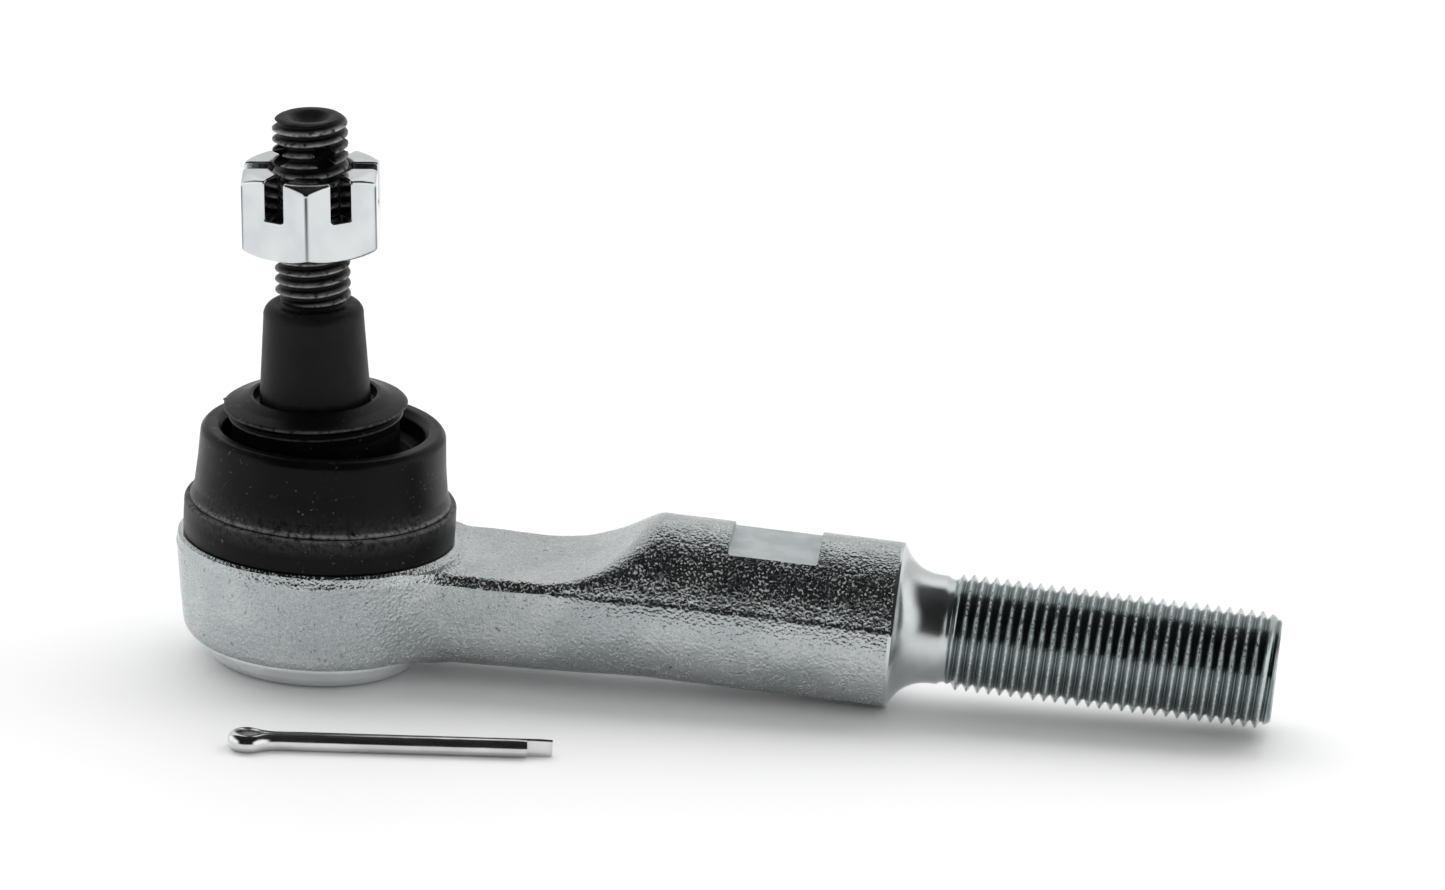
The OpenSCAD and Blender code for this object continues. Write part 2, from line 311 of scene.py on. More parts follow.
def surface_net(f, lo, hi, h, fix=3):
    """Quads on the zero surface of f, with the points drawn onto it."""
    lo, hi = np.array(lo, float), np.array(hi, float)
    n = np.ceil((hi - lo) / h).astype(int) + 1
    ax = [lo[i] + h * np.arange(n[i]) for i in range(3)]
    V = np.empty(n, np.float32)
    step = max(1, int(1.5e6 // (n[1] * n[2])))
    for s in range(0, n[0], step):
        g = np.stack(np.meshgrid(ax[0][s:s + step], ax[1], ax[2], indexing='ij'), -1)
        V[s:s + step] = f(g)
    S = V < 0
    c = tuple(n - 1)
    total = np.zeros(c + (3,), np.float32)
    count = np.zeros(c, np.float32)
    cross = []
    for a in range(3):
        sl0 = [slice(None)] * 3; sl1 = [slice(None)] * 3
        sl0[a] = slice(0, -1); sl1[a] = slice(1, None)
        v0, v1 = V[tuple(sl0)], V[tuple(sl1)]
        m = S[tuple(sl0)] != S[tuple(sl1)]
        idx = np.argwhere(m)
        t = v0[m] / (v0[m] - v1[m])
        p = idx.astype(np.float32)
        p[:, a] += t
        o = [b for b in range(3) if b != a]
        for da in (0, 1):
            for db in (0, 1):
                ci = idx.copy()
                ci[:, o[0]] -= da
                ci[:, o[1]] -= db
                ok = (ci >= 0).all(1) & (ci < np.array(c)).all(1)
                k = tuple(ci[ok].T)
                np.add.at(total, k, p[ok])
                np.add.at(count, k, 1)
        inner = (idx[:, o[0]] > 0) & (idx[:, o[1]] > 0) & (idx[:, o[0]] < c[o[0]]) & (idx[:, o[1]] < c[o[1]])
        cross.append((a, o, idx[inner], S[tuple(sl0)][m][inner]))
    active = count > 0
    index = np.full(c, -1, np.int64)
    index[active] = np.arange(active.sum())
    verts = lo + h * (total[active] / count[active][:, None]).astype(float)
    quads = []
    for a, o, idx, neg in cross:
        q = []
        for da, db in ((1, 1), (0, 1), (0, 0), (1, 0)):
            ci = idx.copy()
            ci[:, o[0]] -= da
            ci[:, o[1]] -= db
            q.append(index[tuple(ci.T)])
        q = np.stack(q, -1)
        flip = neg if a != 1 else ~neg
        q[~flip] = q[~flip][:, ::-1]
        quads.append(q)
    quads = np.concatenate(quads)
    home = verts.copy()
    e = 0.02
    for _ in range(fix):
        v = f(verts)
        grad = np.stack([(f(verts + d) - f(verts - d)) / (2 * e) for d in np.eye(3) * e], -1)
        g2 = np.maximum((grad ** 2).sum(-1), 0.05)
        verts = verts - (v / g2)[:, None] * grad
        verts = home + np.clip(verts - home, -0.6 * h, 0.6 * h)
    return verts, quads


# ---------------------------------------------------------------- screw threads
def thread_rows(p, h, r, crest=0.0625, root=0.44, steps=3):
    """One pitch of the profile as (phase, drop below the crest), rounded a little at crest and root."""
    rows = [(-crest, 0.035), (-crest * 0.45, 0.0), (crest * 0.45, 0.0), (crest, 0.035)]
    for i in range(1, steps):
        t = i / steps
        rows.append((crest + (root - crest - 0.03) * t, 0.035 + (h - 0.12) * t))
    rows += [(root - 0.03, h - 0.07), (root + 0.02, h), (1 - root - 0.02, h), (1 - root + 0.03, h - 0.07)]
    for i in range(steps - 1, 0, -1):
        t = i / steps
        rows.append((1 - crest - (root - crest - 0.03) * t, 0.035 + (h - 0.12) * t))
    return rows


def threaded(name, before, z0, z1, r, p, phase, after, hand=1, n=128, h=1.30, clamp=None, m3=None, run_in=1.2):
    """A closed solid about z: the profile before, a true screw thread from z0 to z1, then the profile after.
    hand is 1 for right-hand and -1 for left-hand. clamp(z) gives the largest radius, for chamfers."""
    rows = thread_rows(p, h, r)
    m = len(rows)
    turns = int(math.ceil((z1 - z0) / p)) + 5
    first = z0 - 1.5 * p
    k0 = math.floor((first - phase) / p)
    zz, rr = [], []
    for t in range(turns):
        for ph, drop in rows:
            zz.append(phase + (k0 + t + ph) * p)
            rr.append(r - drop)
    zz, rr = np.array(zz), np.array(rr)
    K = len(zz)
    ang = np.arange(n) * 2 * math.pi / n
    Z = zz[:, None] + hand * p * (ang / (2 * math.pi))[None, :]
    Z0 = Z.copy()
    Z = np.clip(Z, z0, z1)
    fade = np.clip((Z - z0) / (run_in * p), 0, 1)
    fade = fade * fade * (3 - 2 * fade)
    Rr = np.broadcast_to(rr[:, None], Z.shape).copy()
    rootr = r - h
    Rr = rootr + (Rr - rootr) * fade
    Rr = np.where(Z0 <= z0, rootr, Rr)
    if clamp is not None:
        Rr = np.minimum(Rr, clamp(Z))
    end_r = float(min(rootr, clamp(np.array([z1]))[0])) if clamp is not None else rootr
    Rr = np.where(Z0 >= z1, end_r, Rr)
    P = np.stack([Rr * np.cos(ang), Rr * np.sin(ang), Z], -1)
    verts = P.reshape(-1, 3)
    quads = []
    for j in range(n):
        if j < n - 1:
            a = np.arange(K - 1) * n + j
            quads.append(np.stack([a, a + 1, a + n + 1, a + n], -1))
        else:
            k = np.arange(K - 1)
            k2 = k + hand * m
            ok = (k2 >= 0) & (k2 + 1 < K)
            k, k2 = k[ok], k2[ok]
            quads.append(np.stack([k * n + j, k2 * n, (k2 + 1) * n, (k + 1) * n + j], -1))
    # rows before the clip all lie on one circle, so welding closes them
    verts = list(map(tuple, verts))
    quads = [tuple(q) for arr_ in quads for q in arr_.tolist()]
    tris = []

    def ring(rad_, z):
        at = len(verts)
        verts.extend([(rad_ * math.cos(t), rad_ * math.sin(t), z) for t in ang])
        return at

    def join(a, b):
        for j in range(n):
            k = (j + 1) % n
            quads.append((a + j, a + k, b + k, b + j))

    lo = ring(rootr, z0)
    last = lo
    for rad_, z in reversed(before):
        if rad_ < 1e-6:
            at = len(verts)
            verts.append((0, 0, z))
            for j in range(n):
                tris.append((at, last + (j + 1) % n, last + j))
        else:
            at = ring(rad_, z)
            join(at, last)
            last = at
    last = ring(end_r, z1)
    for rad_, z in after:
        if rad_ < 1e-6:
            at = len(verts)
            verts.append((0, 0, z))
            for j in range(n):
                tris.append((last + j, last + (j + 1) % n, at))
        else:
            at = ring(rad_, z)
            join(last, at)
            last = at
    ob = new_object(name, verts, quads, tris)
    bm = bmesh.new()
    bm.from_mesh(ob.data)
    bmesh.ops.remove_doubles(bm, verts=bm.verts, dist=3e-6)
    bmesh.ops.dissolve_degenerate(bm, edges=bm.edges, dist=1e-7)
    bmesh.ops.recalc_face_normals(bm, faces=bm.faces)
    bad = [e for e in bm.edges if len(e.link_faces) != 2]
    if bad:
        print(name, "open edges", len(bad), [tuple(round(c / MM, 2) for c in e.verts[0].co) for e in bad[:4]])
    bm.to_mesh(ob.data)
    bm.free()
    if m3 is not None:
        place(ob, m3)
    return ob


# ---------------------------------------------------------------- the forging
EYE = [(0, 14), (26.5, 14), (26.75, 3.9), (27.0, 1.5), (25.85, -9.0), (24.75, -16.4), (0, -16.4)]


def eye_inset(pts, d):
    """The outline moved in by d, so that adding d back rounds its corners."""
    pts = np.array(pts, float)
    out = []
    n = len(pts)
    for i in range(n):
        a, b, c = pts[i - 1], pts[i], pts[(i + 1) % n]
        e0, e1 = b - a, c - b
        n0 = np.array([e0[1], -e0[0]]) / np.linalg.norm(e0)
        n1 = np.array([e1[1], -e1[0]]) / np.linalg.norm(e1)
        # corners on the axis stay there
        if b[0] == 0:
            out.append((0, b[1] - math.copysign(d, b[1])))
            continue
        k = n0 + n1
        k = k / (1 + n0 @ n1)
        out.append(tuple(b + k * d))
    return out


EYE_ROUND = 3.4
EYE_IN = eye_inset(EYE, EYE_ROUND)


def parting(s):
    """Height of the die parting line above the shank axis."""
    return 1.9 + 1.3 * np.clip((s - 18) / 55.0, 0, 1)


def forging_sd(p):
    sh = p @ SHANK                      # into the shank frame
    s, y, z = sh[..., 0], sh[..., 1], sh[..., 2]
    lump = 0.07 * noise3(p, 6.5) + 0.045 * noise3(p + 31.0, 2.6)
    # eye
    rho = np.sqrt(p[..., 0] ** 2 + p[..., 1] ** 2)
    eye = poly_sd(rho, p[..., 2], EYE_IN) - EYE_ROUND
    zp = parting(s)
    # shank: round underside, flat topped arm, full round body
    t = np.clip((s - 8) / 56.0, 0, 1)
    ru = 18.1 - 2.2 * t ** 1.6
    upper = 1 / (1 + np.exp(-(z - zp) / 0.16))
    rr = np.sqrt(y ** 2 + z ** 2) - (ru - 0.28 * upper)
    grow = np.clip((s - 46) / 18.0, 0, 1)
    grow = grow * grow * (3 - 2 * grow)
    half = 16.15 + 0.9 * np.exp(-np.clip(s - 18, 0, 99) / 7.0) + 3.0 * grow
    side = np.abs(y) - (half - 0.10 * np.abs(z - zp) - 0.22 * upper)
    rise = np.clip(s - 42.5, 0, 23.4)
    top_z = 4.3 - 1.2 * np.exp(-np.clip(s - 18, 0, 99) / 9.0) + 24.0 - np.sqrt(576.0 - rise ** 2) + np.clip(s - 65.0, 0, 20) * 3.0
    top = (z - top_z) * 0.8
    arm = smax(rr, side, 2.2)
    arm = smax(arm, top, 1.6 + 2.6 * grow)
    # faint flash left on the parting line
    flash = 0.16 * np.exp(-((z - zp) / 0.42) ** 2) * np.clip((np.abs(y) - 12.0) / 2.5, 0, 1)
    arm = arm - flash
    arm = np.maximum(arm, -(s - 2.0))
    eye_flash = 0.13 * np.exp(-((p[..., 2] - 1.5) / 0.45) ** 2)
    body = smin(eye - eye_flash, arm, 5.0)
    body = body + lump
    return np.maximum(body, s - 119.4)


def lathe_cutter(name, prof, n, m3=None):
    return revolve(name, prof, n, m3)


TO_SHANK = SHANK @ rot_y(math.pi / 2)     # z of a turned shape goes along the shank


def neck_curve(s):
    """Radius of the machined blend behind the body."""
    x = np.clip(118.4 - np.asarray(s, float), 0, 7.999)
    return NECK_R + 8.0 - np.sqrt(64.0 - x ** 2)


def make_forging():
    h = 0.46
    v, q = surface_net(forging_sd, (-28.6, -28.6, -21.8), (121.5, 28.6, 17.0), h)
    a, b, c, d = (v[q[:, i]] for i in range(4))
    if np.einsum('ij,ij->i', a, np.cross(b - a, c - a) + np.cross(c - a, d - a)).sum() < 0:
        q = q[:, ::-1]
    ob = new_object("tie_rod_forging", v, q)
    # machined rim, raised neck and the flat under the cover
    boolean(ob, revolve("c1", [(0, 10.5)] + [(21.8, 10.5), (22.5, 9.8), (22.5, 4.2), (22.75, 3.9), (26.2, 3.9), (27.4, 3.0),
                                             (32, 3.0), (32, 40), (0, 40)], 192), 'DIFFERENCE')
    boolean(ob, revolve("c2", [(0, -40), (24.5, -40), (24.3, -15.7), (0, -15.7)], 192), 'DIFFERENCE')
    # cavity with its conical mouth
    boolean(ob, revolve("c3", [(0, -30), (19.5, -30), (19.5, -14.2), (17.55, -14.2), (17.55, 8.6), (13.7, 8.6),
                               (14.8, 11.5), (0, 11.5)], 128), 'DIFFERENCE')
    # blend behind the body
    curve = [(float(neck_curve(s)), float(s)) for s in np.linspace(110.55, 118.4, 22)]
    first = curve[0]
    prof = [(first[0] + 6.0, 108.9), (16.75, 110.42)] + curve + [(NECK_R, 125.0), (40.0, 125.0), (40.0, 108.9)]
    boolean(ob, revolve("c4", prof, 192, TO_SHANK), 'DIFFERENCE')
    # milled flat on top of the body
    for sign in (1,):
        bm = bmesh.new()
        bmesh.ops.create_cube(bm, size=1.0)
        bmesh.ops.scale(bm, vec=(17.0 * MM, 44 * MM, 10 * MM), verts=bm.verts)
        bmesh.ops.translate(bm, vec=(86.7 * MM, 0, sign * (12.7 + 5) * MM), verts=bm.verts)
        corner = [e for e in bm.edges if abs(e.verts[0].co.y - e.verts[1].co.y) > 0.01 and
                  abs(e.verts[0].co.z) < 14 * MM]
        bmesh.ops.bevel(bm, geom=corner, offset=0.35 * MM, segments=3, profile=0.5, affect='EDGES')
        me = bpy.data.meshes.new("c5")
        bm.to_mesh(me)
        bm.free()
        cut = bpy.data.objects.new("c5", me)
        scene.collection.objects.link(cut)
        place(cut, SHANK)
        boolean(ob, cut, 'DIFFERENCE')
    # neck and screw thread
    def chamfer(z):
        return np.where(z > THREAD_END - 2.4, THREAD_R - (z - (THREAD_END - 2.4)) * 0.62, 99.0)
    end_r = THREAD_R - 2.4 * 0.62
    th = threaded("thread", [(0, 117.0), (NECK_R - 0.012, 117.0), (NECK_R - 0.012, 119.7), (9.95, 120.5), (THREAD_R - 1.30, 120.9)],
                  121.0, THREAD_END - 0.02, THREAD_R, THREAD_P, THREAD_START + 0.45 * THREAD_P, [(end_r - 0.05, THREAD_END), (0, THREAD_END)],
                  hand=-1, n=144, clamp=chamfer, m3=TO_SHANK, run_in=0.9)
    boolean(ob, th, 'UNION')
    # painted highlight and painted shade on the screw thread: crests marked to be made lighter and less metallic,
    # roots marked to be painted dark
    v = vertices(ob) @ SHANK
    deep = THREAD_R - np.hypot(v[:, 1], v[:, 2])
    on = (v[:, 0] > 121.4) * (v[:, 0] < THREAD_END - 0.3)
    attribute(ob, "crest", np.clip(1.35 - deep / 0.16, 0, 1) * on)
    attribute(ob, "root", np.clip((deep - 0.72) / 0.3, 0, 1) * on)
    soften(ob, 30)
    return ob


def attribute(ob, name, values):
    at = ob.data.attributes.new(name, 'FLOAT', 'POINT')
    at.data.foreach_set("value", np.clip(values, 0, 1).astype(np.float32))


def choose(ob, rule):
    """Material index of each face from its centre (millimetres) and normal."""
    n = len(ob.data.polygons)
    c = np.empty(n * 3, np.float32)
    m = np.empty(n * 3, np.float32)
    ob.data.polygons.foreach_get("center", c)
    ob.data.polygons.foreach_get("normal", m)
    k = rule(c.reshape(-1, 3).astype(float) / MM, m.reshape(-1, 3).astype(float)).astype(np.int32)
    ob.data.polygons.foreach_set("material_index", k)
    ob.data.update()


def forging_faces(c, m):
    sh = c @ SHANK
    nn = m @ SHANK
    s, r = sh[:, 0], np.hypot(sh[:, 1], sh[:, 2])
    rho = np.hypot(c[:, 0], c[:, 1])
    k = np.zeros(len(c), int)
    machined = (np.abs(c[:, 2] - 3.45) < 0.52) & (m[:, 2] > 0.8) & (rho < 26.4) & (rho > 22)
    machined |= (rho < 22.6) & (c[:, 2] > 4.0) & (s < 40)
    machined |= (rho < 19.6)
    machined |= (rho < 24.4) & (m[:, 2] < -0.9)
    neck = (s > 110.3) & (s < 121.2) & (r < 16.7)
    pocket = (s > 77.9) & (s < 95.4) & (np.abs(sh[:, 2]) < 15.9) & (np.abs(np.abs(sh[:, 2]) - 12.7) < 0.05)
    walls = (s > 77.9) & (s < 95.4) & (np.abs(nn[:, 0]) > 0.4) & (np.abs(sh[:, 2]) > 12.6)
    k[machined | neck] = 1
    k[pocket | walls] = 3
    k[s >= 121.2] = 2
    return k


# ---------------------------------------------------------------- stud
def taper_r(z):
    return TAPER_R + (TAPER_Z - z) / 16.0


def make_stud():
    low = arc(0, 0, 13.5, -90, 44.0, 46)
    low[0] = (0, -13.5)
    body = low + fillet([(9.2, 9.9), (8.4, 11.0), (8.3, 12.2), (8.3, 17.0), (taper_r(22.0) - 0.55, 21.2), (taper_r(22.0), 22.1),
                         (TAPER_R, TAPER_Z)], [0, 0.8, 0.8, 3, 0.8, 0.6, 0], 5)
    body += arc(TAPER_R - 2.3, SHOULDER - 2.3, 2.3, 3.6, 82, 12)
    # the shallow groove turned at the root of the thread
    body += [(6.9, SHOULDER - 0.12), (6.5, SHOULDER - 0.3), (6.1, SHOULDER - 0.22), (5.86, SHOULDER + 0.1), (5.84, SHOULDER + 0.35)]

    def chamfer(z):
        q = np.clip((z - 84.9) / 1.9, 0, 1)
        return 5.25 + 1.92 * np.sqrt(1 - q * q) + np.clip(84.9 - z, 0, 9)
    tip = [(5.55, STUD_TIP - 0.03), (5.2, STUD_TIP), (4.3, STUD_TIP - 0.04), (3.9, STUD_TIP - 0.16), (3.5, STUD_TIP - 0.45),
           (2.9, STUD_TIP - 0.95), (2.2, STUD_TIP - 1.45), (1.2, STUD_TIP - 1.85), (0, STUD_TIP - 2.0)]
    ob = threaded("ball_stud_turned", body, SHOULDER + 0.5, STUD_TIP - 0.06, STUD_R, THREAD_P, SHOULDER + 1.55, tip,
                  hand=1, n=160, clamp=chamfer, run_in=0.45)
    for a, dz in ((32, 0.15), (-58, -0.15)):
        m3 = rot_z(rad(a)) @ np.array([[1, 0, 0], [0, 0, -1.0], [0, 1.0, 0]])
        cut = revolve("hole", [(0, -9.4), (3.35, -9.4), (2.3, -6.75), (2.3, 6.75), (3.35, 9.4), (0, 9.4)], 64, m3)
        cut.data.transform(Matrix.Translation((0, 0, (80.2 + dz) * MM)))
        boolean(ob, cut, 'DIFFERENCE')
    v = vertices(ob)
    r = np.hypot(v[:, 0], v[:, 1])
    z = v[:, 2]
    crest = np.clip((r - 6.55) / 0.5, 0, 1) * (z > SHOULDER + 0.4)
    patch = 0.5 + 0.5 * noise3(v, 1.9)
    # painted shade: a mask for the inside of the cross holes, which the material paints near black
    hole = np.zeros(len(v))
    for a, dz in ((32, 0.15), (-58, -0.15)):
        d = np.hypot(-v[:, 0] * math.sin(rad(a)) + v[:, 1] * math.cos(rad(a)), z - 80.2 - dz)
        hole = np.maximum(hole, np.clip((2.75 - d) / 0.3, 0, 1) * (r < 7.0))
    wear = crest * (0.45 + 0.55 * patch) * (1 - hole) * (1 - 0.3 * np.exp(-((z - 79.6) / 3.0) ** 4))
    attribute(ob, "hole", hole)
    attribute(ob, "wear", wear)
    attribute(ob, "ball", (z < 12.0) * 1.0)
    soften(ob, 28)
    place(ob, STUD)
    return ob


# ---------------------------------------------------------------- nut
NUT_LO, NUT_HI = 61.5, 77.1


def nut_sd(p):
    x, y, z = p[..., 0], p[..., 1], p[..., 2]
    r = np.sqrt(x * x + y * y)
    hexa = np.full(x.shape, -99.0)
    slot = np.full(x.shape, 99.0)
    for k in range(3):
        a = rad(-56 + 60 * k)
        across = np.abs(x * math.cos(a) + y * math.sin(a)) - 12.7
        side = np.abs(-x * math.sin(a) + y * math.cos(a)) - 2.1
        hexa = smax(hexa, across, 0.5) if k else across
        slot = np.minimum(slot, smax(side, (NUT_HI - 7.9) - z, 0.7))
    body = smax(hexa, (r - 12.35) * 0.5 + (z - NUT_HI) * 0.866, 0.45)
    body = smax(body, (r - 12.7) * 0.5 + (NUT_LO - z) * 0.866, 0.6)
    body = smax(body, z - NUT_HI, 0.35)
    body = smax(body, NUT_LO - z, 0.35)
    body = smax(body, -slot, 0.3)
    turn = np.arctan2(y, x) / (2 * math.pi)
    ph = np.abs(((z - (SHOULDER + 1.55)) / THREAD_P - turn) % 1.0 - 0.5) * 2
    bore = 7.24 + 0.75 * np.clip(1 - ph * 1.25, 0, 1)
    bore = np.maximum(bore, 8.1 - (NUT_HI - z) * 0.8)
    bore = np.maximum(bore, 8.1 - (z - NUT_LO) * 0.8)
    return np.maximum(body, (bore - r) * 0.9)


def make_nut():
    h = 0.21
    v, q = surface_net(nut_sd, (-15.1, -15.1, NUT_LO - 0.5), (15.1, 15.1, NUT_HI + 0.5), h, fix=4)
    a, b, c, d = (v[q[:, i]] for i in range(4))
    if np.einsum('ij,ij->i', a, np.cross(b - a, c - a) + np.cross(c - a, d - a)).sum() < 0:
        q = q[:, ::-1]
    ob = new_object("castle_nut_slotted", v, q)
    rr = np.hypot(v[:, 0], v[:, 1])
    # painted shade: marks the bore, which the material paints dark
    attribute(ob, "bore", np.clip((8.6 - rr) / 0.5, 0, 1))
    # painted shade: thin dark lines down the six standing corners between the flats, standing in for the dark
    # reflection on their rounded edges, weaker towards the bottom
    turn = (np.degrees(np.arctan2(v[:, 1], v[:, 0])) + 56 - 30 + 30) % 60 - 30
    apart = np.abs(rr * np.sin(np.radians(turn)))
    attribute(ob, "corner", np.clip(1.15 - apart / 0.40, 0, 1) * np.clip(0.6 + 0.4 * (v[:, 2] - NUT_LO) / 12, 0, 1) * (rr > 13.6) * np.clip((NUT_HI - 1.6 - v[:, 2]) / 0.5, 0, 1)
              * np.clip((v[:, 2] - NUT_LO - 1.0) / 0.5, 0, 1))
    soften(ob, 50)
    place(ob, STUD)
    return ob


# ---------------------------------------------------------------- boot and rings
def make_boot():
    raw = [
        # z, r pairs as (r, z, how far the point follows the stud, rounding)
        (22.6, 4.05, 0, 0.1), (24.0, 4.05, 0, 0.1), (24.0, 10.72, 0, 0.05), (24.95, 10.8, 0, 0.12), (24.62, 11.35, 0, 0.5),
        (24.05, 13.2, 0, 1.5), (23.55, 18.5, 0, 3.0), (23.25, 24.2, 0, 1.5), (22.3, 25.25, 0, 0.95), (20.2, 25.25, 0, 0.95),
        (19.2, 24.0, 0, 1.2), (19.05, 21.0, 0.12, 1.0), (18.6, 18.9, 0.45, 1.0), (17.3, 18.25, 0.8, 0.6),
        (16.15, 18.9, 1, 0.7), (15.95, 21.0, 1, 1.0), (15.85, 26.0, 1, 1.0), (16.1, 27.5, 1, 0.4), (16.55, 27.85, 1, 0.12),
        (16.45, 28.25, 1, 0.1), (16.15, 28.45, 1, 0.12), (16.5, 29.15, 1, 0.5), (17.38, 29.72, 1, 0.06), (17.42, 29.98, 1, 0.08),
        (16.9, 30.3, 1, 0.4), (14.6, 31.05, 1, 2.0), (12.4, 32.05, 1, 0.3), (11.75, 32.0, 1, 0.15), (11.6, 31.5, 1, 0.1),
        (11.6, 30.0, 1, 0), (13.35, 30.0, 1, 0), (13.35, 17.5, 1, 0), (13.8, 16.7, 0.95, 0.3), (15.0, 15.9, 0.75, 0.8),
        (17.6, 15.9, 0.45, 0.8), (20.7, 16.9, 0.12, 0.8), (21.3, 15.6, 0, 0.6), (21.6, 13.0, 0, 0.6), (22.6, 11.5, 0, 0.3)]
    pts = [(r, z) for r, z, w, f in raw]
    line = fillet([pts[-1]] + pts + [pts[0]], [0] + [f for r, z, w, f in raw] + [0], 6)[1:-1]
    # more points along the long stretches, so the fold bends smoothly
    dense = []
    for a, b in zip(line, line[1:] + line[:1]):
        d = math.dist(a, b)
        k = max(1, int(math.ceil(d / 0.55)))
        dense += [(a[0] + (b[0] - a[0]) * i / k, a[1] + (b[1] - a[1]) * i / k) for i in range(k)]
    # the follow weight of each point, from the nearest named one along the line
    key = np.array(pts)
    wt = np.array([w for r, z, w, f in raw])
    prof = np.array(dense)
    seg_w = np.zeros(len(prof))
    for i, q in enumerate(prof):
        best, bw = 1e9, 0
        for j in range(len(key)):
            a, b = key[j], key[(j + 1) % len(key)]
            e = b - a
            t = float(np.clip((q - a) @ e / (e @ e), 0, 1))
            d = float(np.hypot(*(a + e * t - q)))
            if d < best:
                best, bw = d, wt[j] * (1 - t) + wt[(j + 1) % len(key)] * t
        seg_w[i] = bw
    n = 224
    ob = revolve("dust_boot_moulded", dense, n)
    v = vertices(ob)
    # revolve may turn the list round to keep the outside out
    rr, zz = np.hypot(v[:, 0], v[:, 1]), v[:, 2]
    tree = {}
    for (r, z), w in zip(dense, seg_w):
        tree[(round(r, 3), round(z, 3))] = w
    rows = len(dense)
    first = v[0]
    order = list(range(rows))
    if abs(math.hypot(first[0], first[1]) - dense[0][0]) > 1e-3 or abs(first[2] - dense[0][1]) > 1e-3:
        order = order[::-1]
    w = np.repeat(seg_w[order], n)
    w = w * w * (3 - 2 * w)
    # soft unevenness of moulded rubber, and a slightly wavy lip
    th = np.arctan2(v[:, 1], v[:, 0])
    soft = 0.05 * noise3(v, 7.0)
    lip = np.exp(-((rr - 17.4) / 0.3) ** 2 - ((zz - 29.85) / 0.4) ** 2)
    grow = 1 + (soft * (rr > 14) * (zz > 11.2) + lip * (0.05 * np.sin(7 * th + 0.6) + 0.04 * np.sin(13 * th))) / np.maximum(rr, 1)
    # a nub of moulding flash on the parting line of the lip
    for a0, hgt in ((177.0, 0.42), (-3.0, 0.30)):
        d = np.abs((np.degrees(th) - a0 + 180) % 360 - 180)
        grow += lip * hgt * np.exp(-(d / 1.6) ** 2) / np.maximum(rr, 1)
    v[:, 0] *= grow
    v[:, 1] *= grow
    ang = -rad(LEAN) * w
    u = np.array([math.cos(rad(LEAN_SIDE)), math.sin(rad(LEAN_SIDE)), 0])
    along = v @ u
    c, s = np.cos(ang), np.sin(ang)
    new_along = along * c + v[:, 2] * s
    new_z = -along * s + v[:, 2] * c
    v = v + (new_along - along)[:, None] * u
    v[:, 2] = new_z
    ob.data.vertices.foreach_set("co", (v * MM).astype(np.float32).ravel())
    ob.data.update()
    dust = np.exp(-((zz - 11.15) / 0.30) ** 2) * (rr > 23.9) * 1.0 + 0.28 * np.exp(-(np.clip(zz - 11.2, 0, 99) / 1.3)) * (rr > 23.4) * (zz > 11.0)
    dust += 0.35 * lip + 0.2 * np.exp(-((zz - 27.9) / 0.2) ** 2) * (rr < 17.2) * (rr > 15)
    attribute(ob, "dust", dust)
    soften(ob, 38)
    return ob


def make_band():
    prof = fillet([(24.12, 10.3), (24.12, 4.0), (25.8, 3.98), (25.88, 7.0), (25.86, 10.15), (25.62, 10.6), (24.9, 10.63),
                   (24.2, 10.55), (24.12, 10.3)], [0, 0.12, 0.2, 2, 0.25, 0.2, 0.2, 0.1, 0], 5)[:-1]
    ob = revolve("boot_clamp_band", prof, 256)
    v = vertices(ob)
    rr = np.hypot(v[:, 0], v[:, 1])
    attribute(ob, "dust", np.clip((v[:, 2] - 9.9) / 0.7, 0, 1) * 0.6 * (rr > 24.4))
    soften(ob, 35)
    return ob


def make_cover():
    prof = fillet([(0, -20.9), (17.3, -20.9), (19.3, -20.35), (21.4, -18.6), (22.6, -16.7), (22.7, -15.75), (19.45, -15.72),
                   (19.45, -14.25), (17.2, -14.25), (16.4, -17.6), (15.6, -18.1), (0, -18.1)],
                  [0, 2.0, 3.5, 3.5, 0.8, 0.1, 0.2, 0.2, 0.3, 0.8, 0.8, 0], 8)
    ob = revolve("end_cover_dished", prof, 256)
    soften(ob, 35)
    return ob


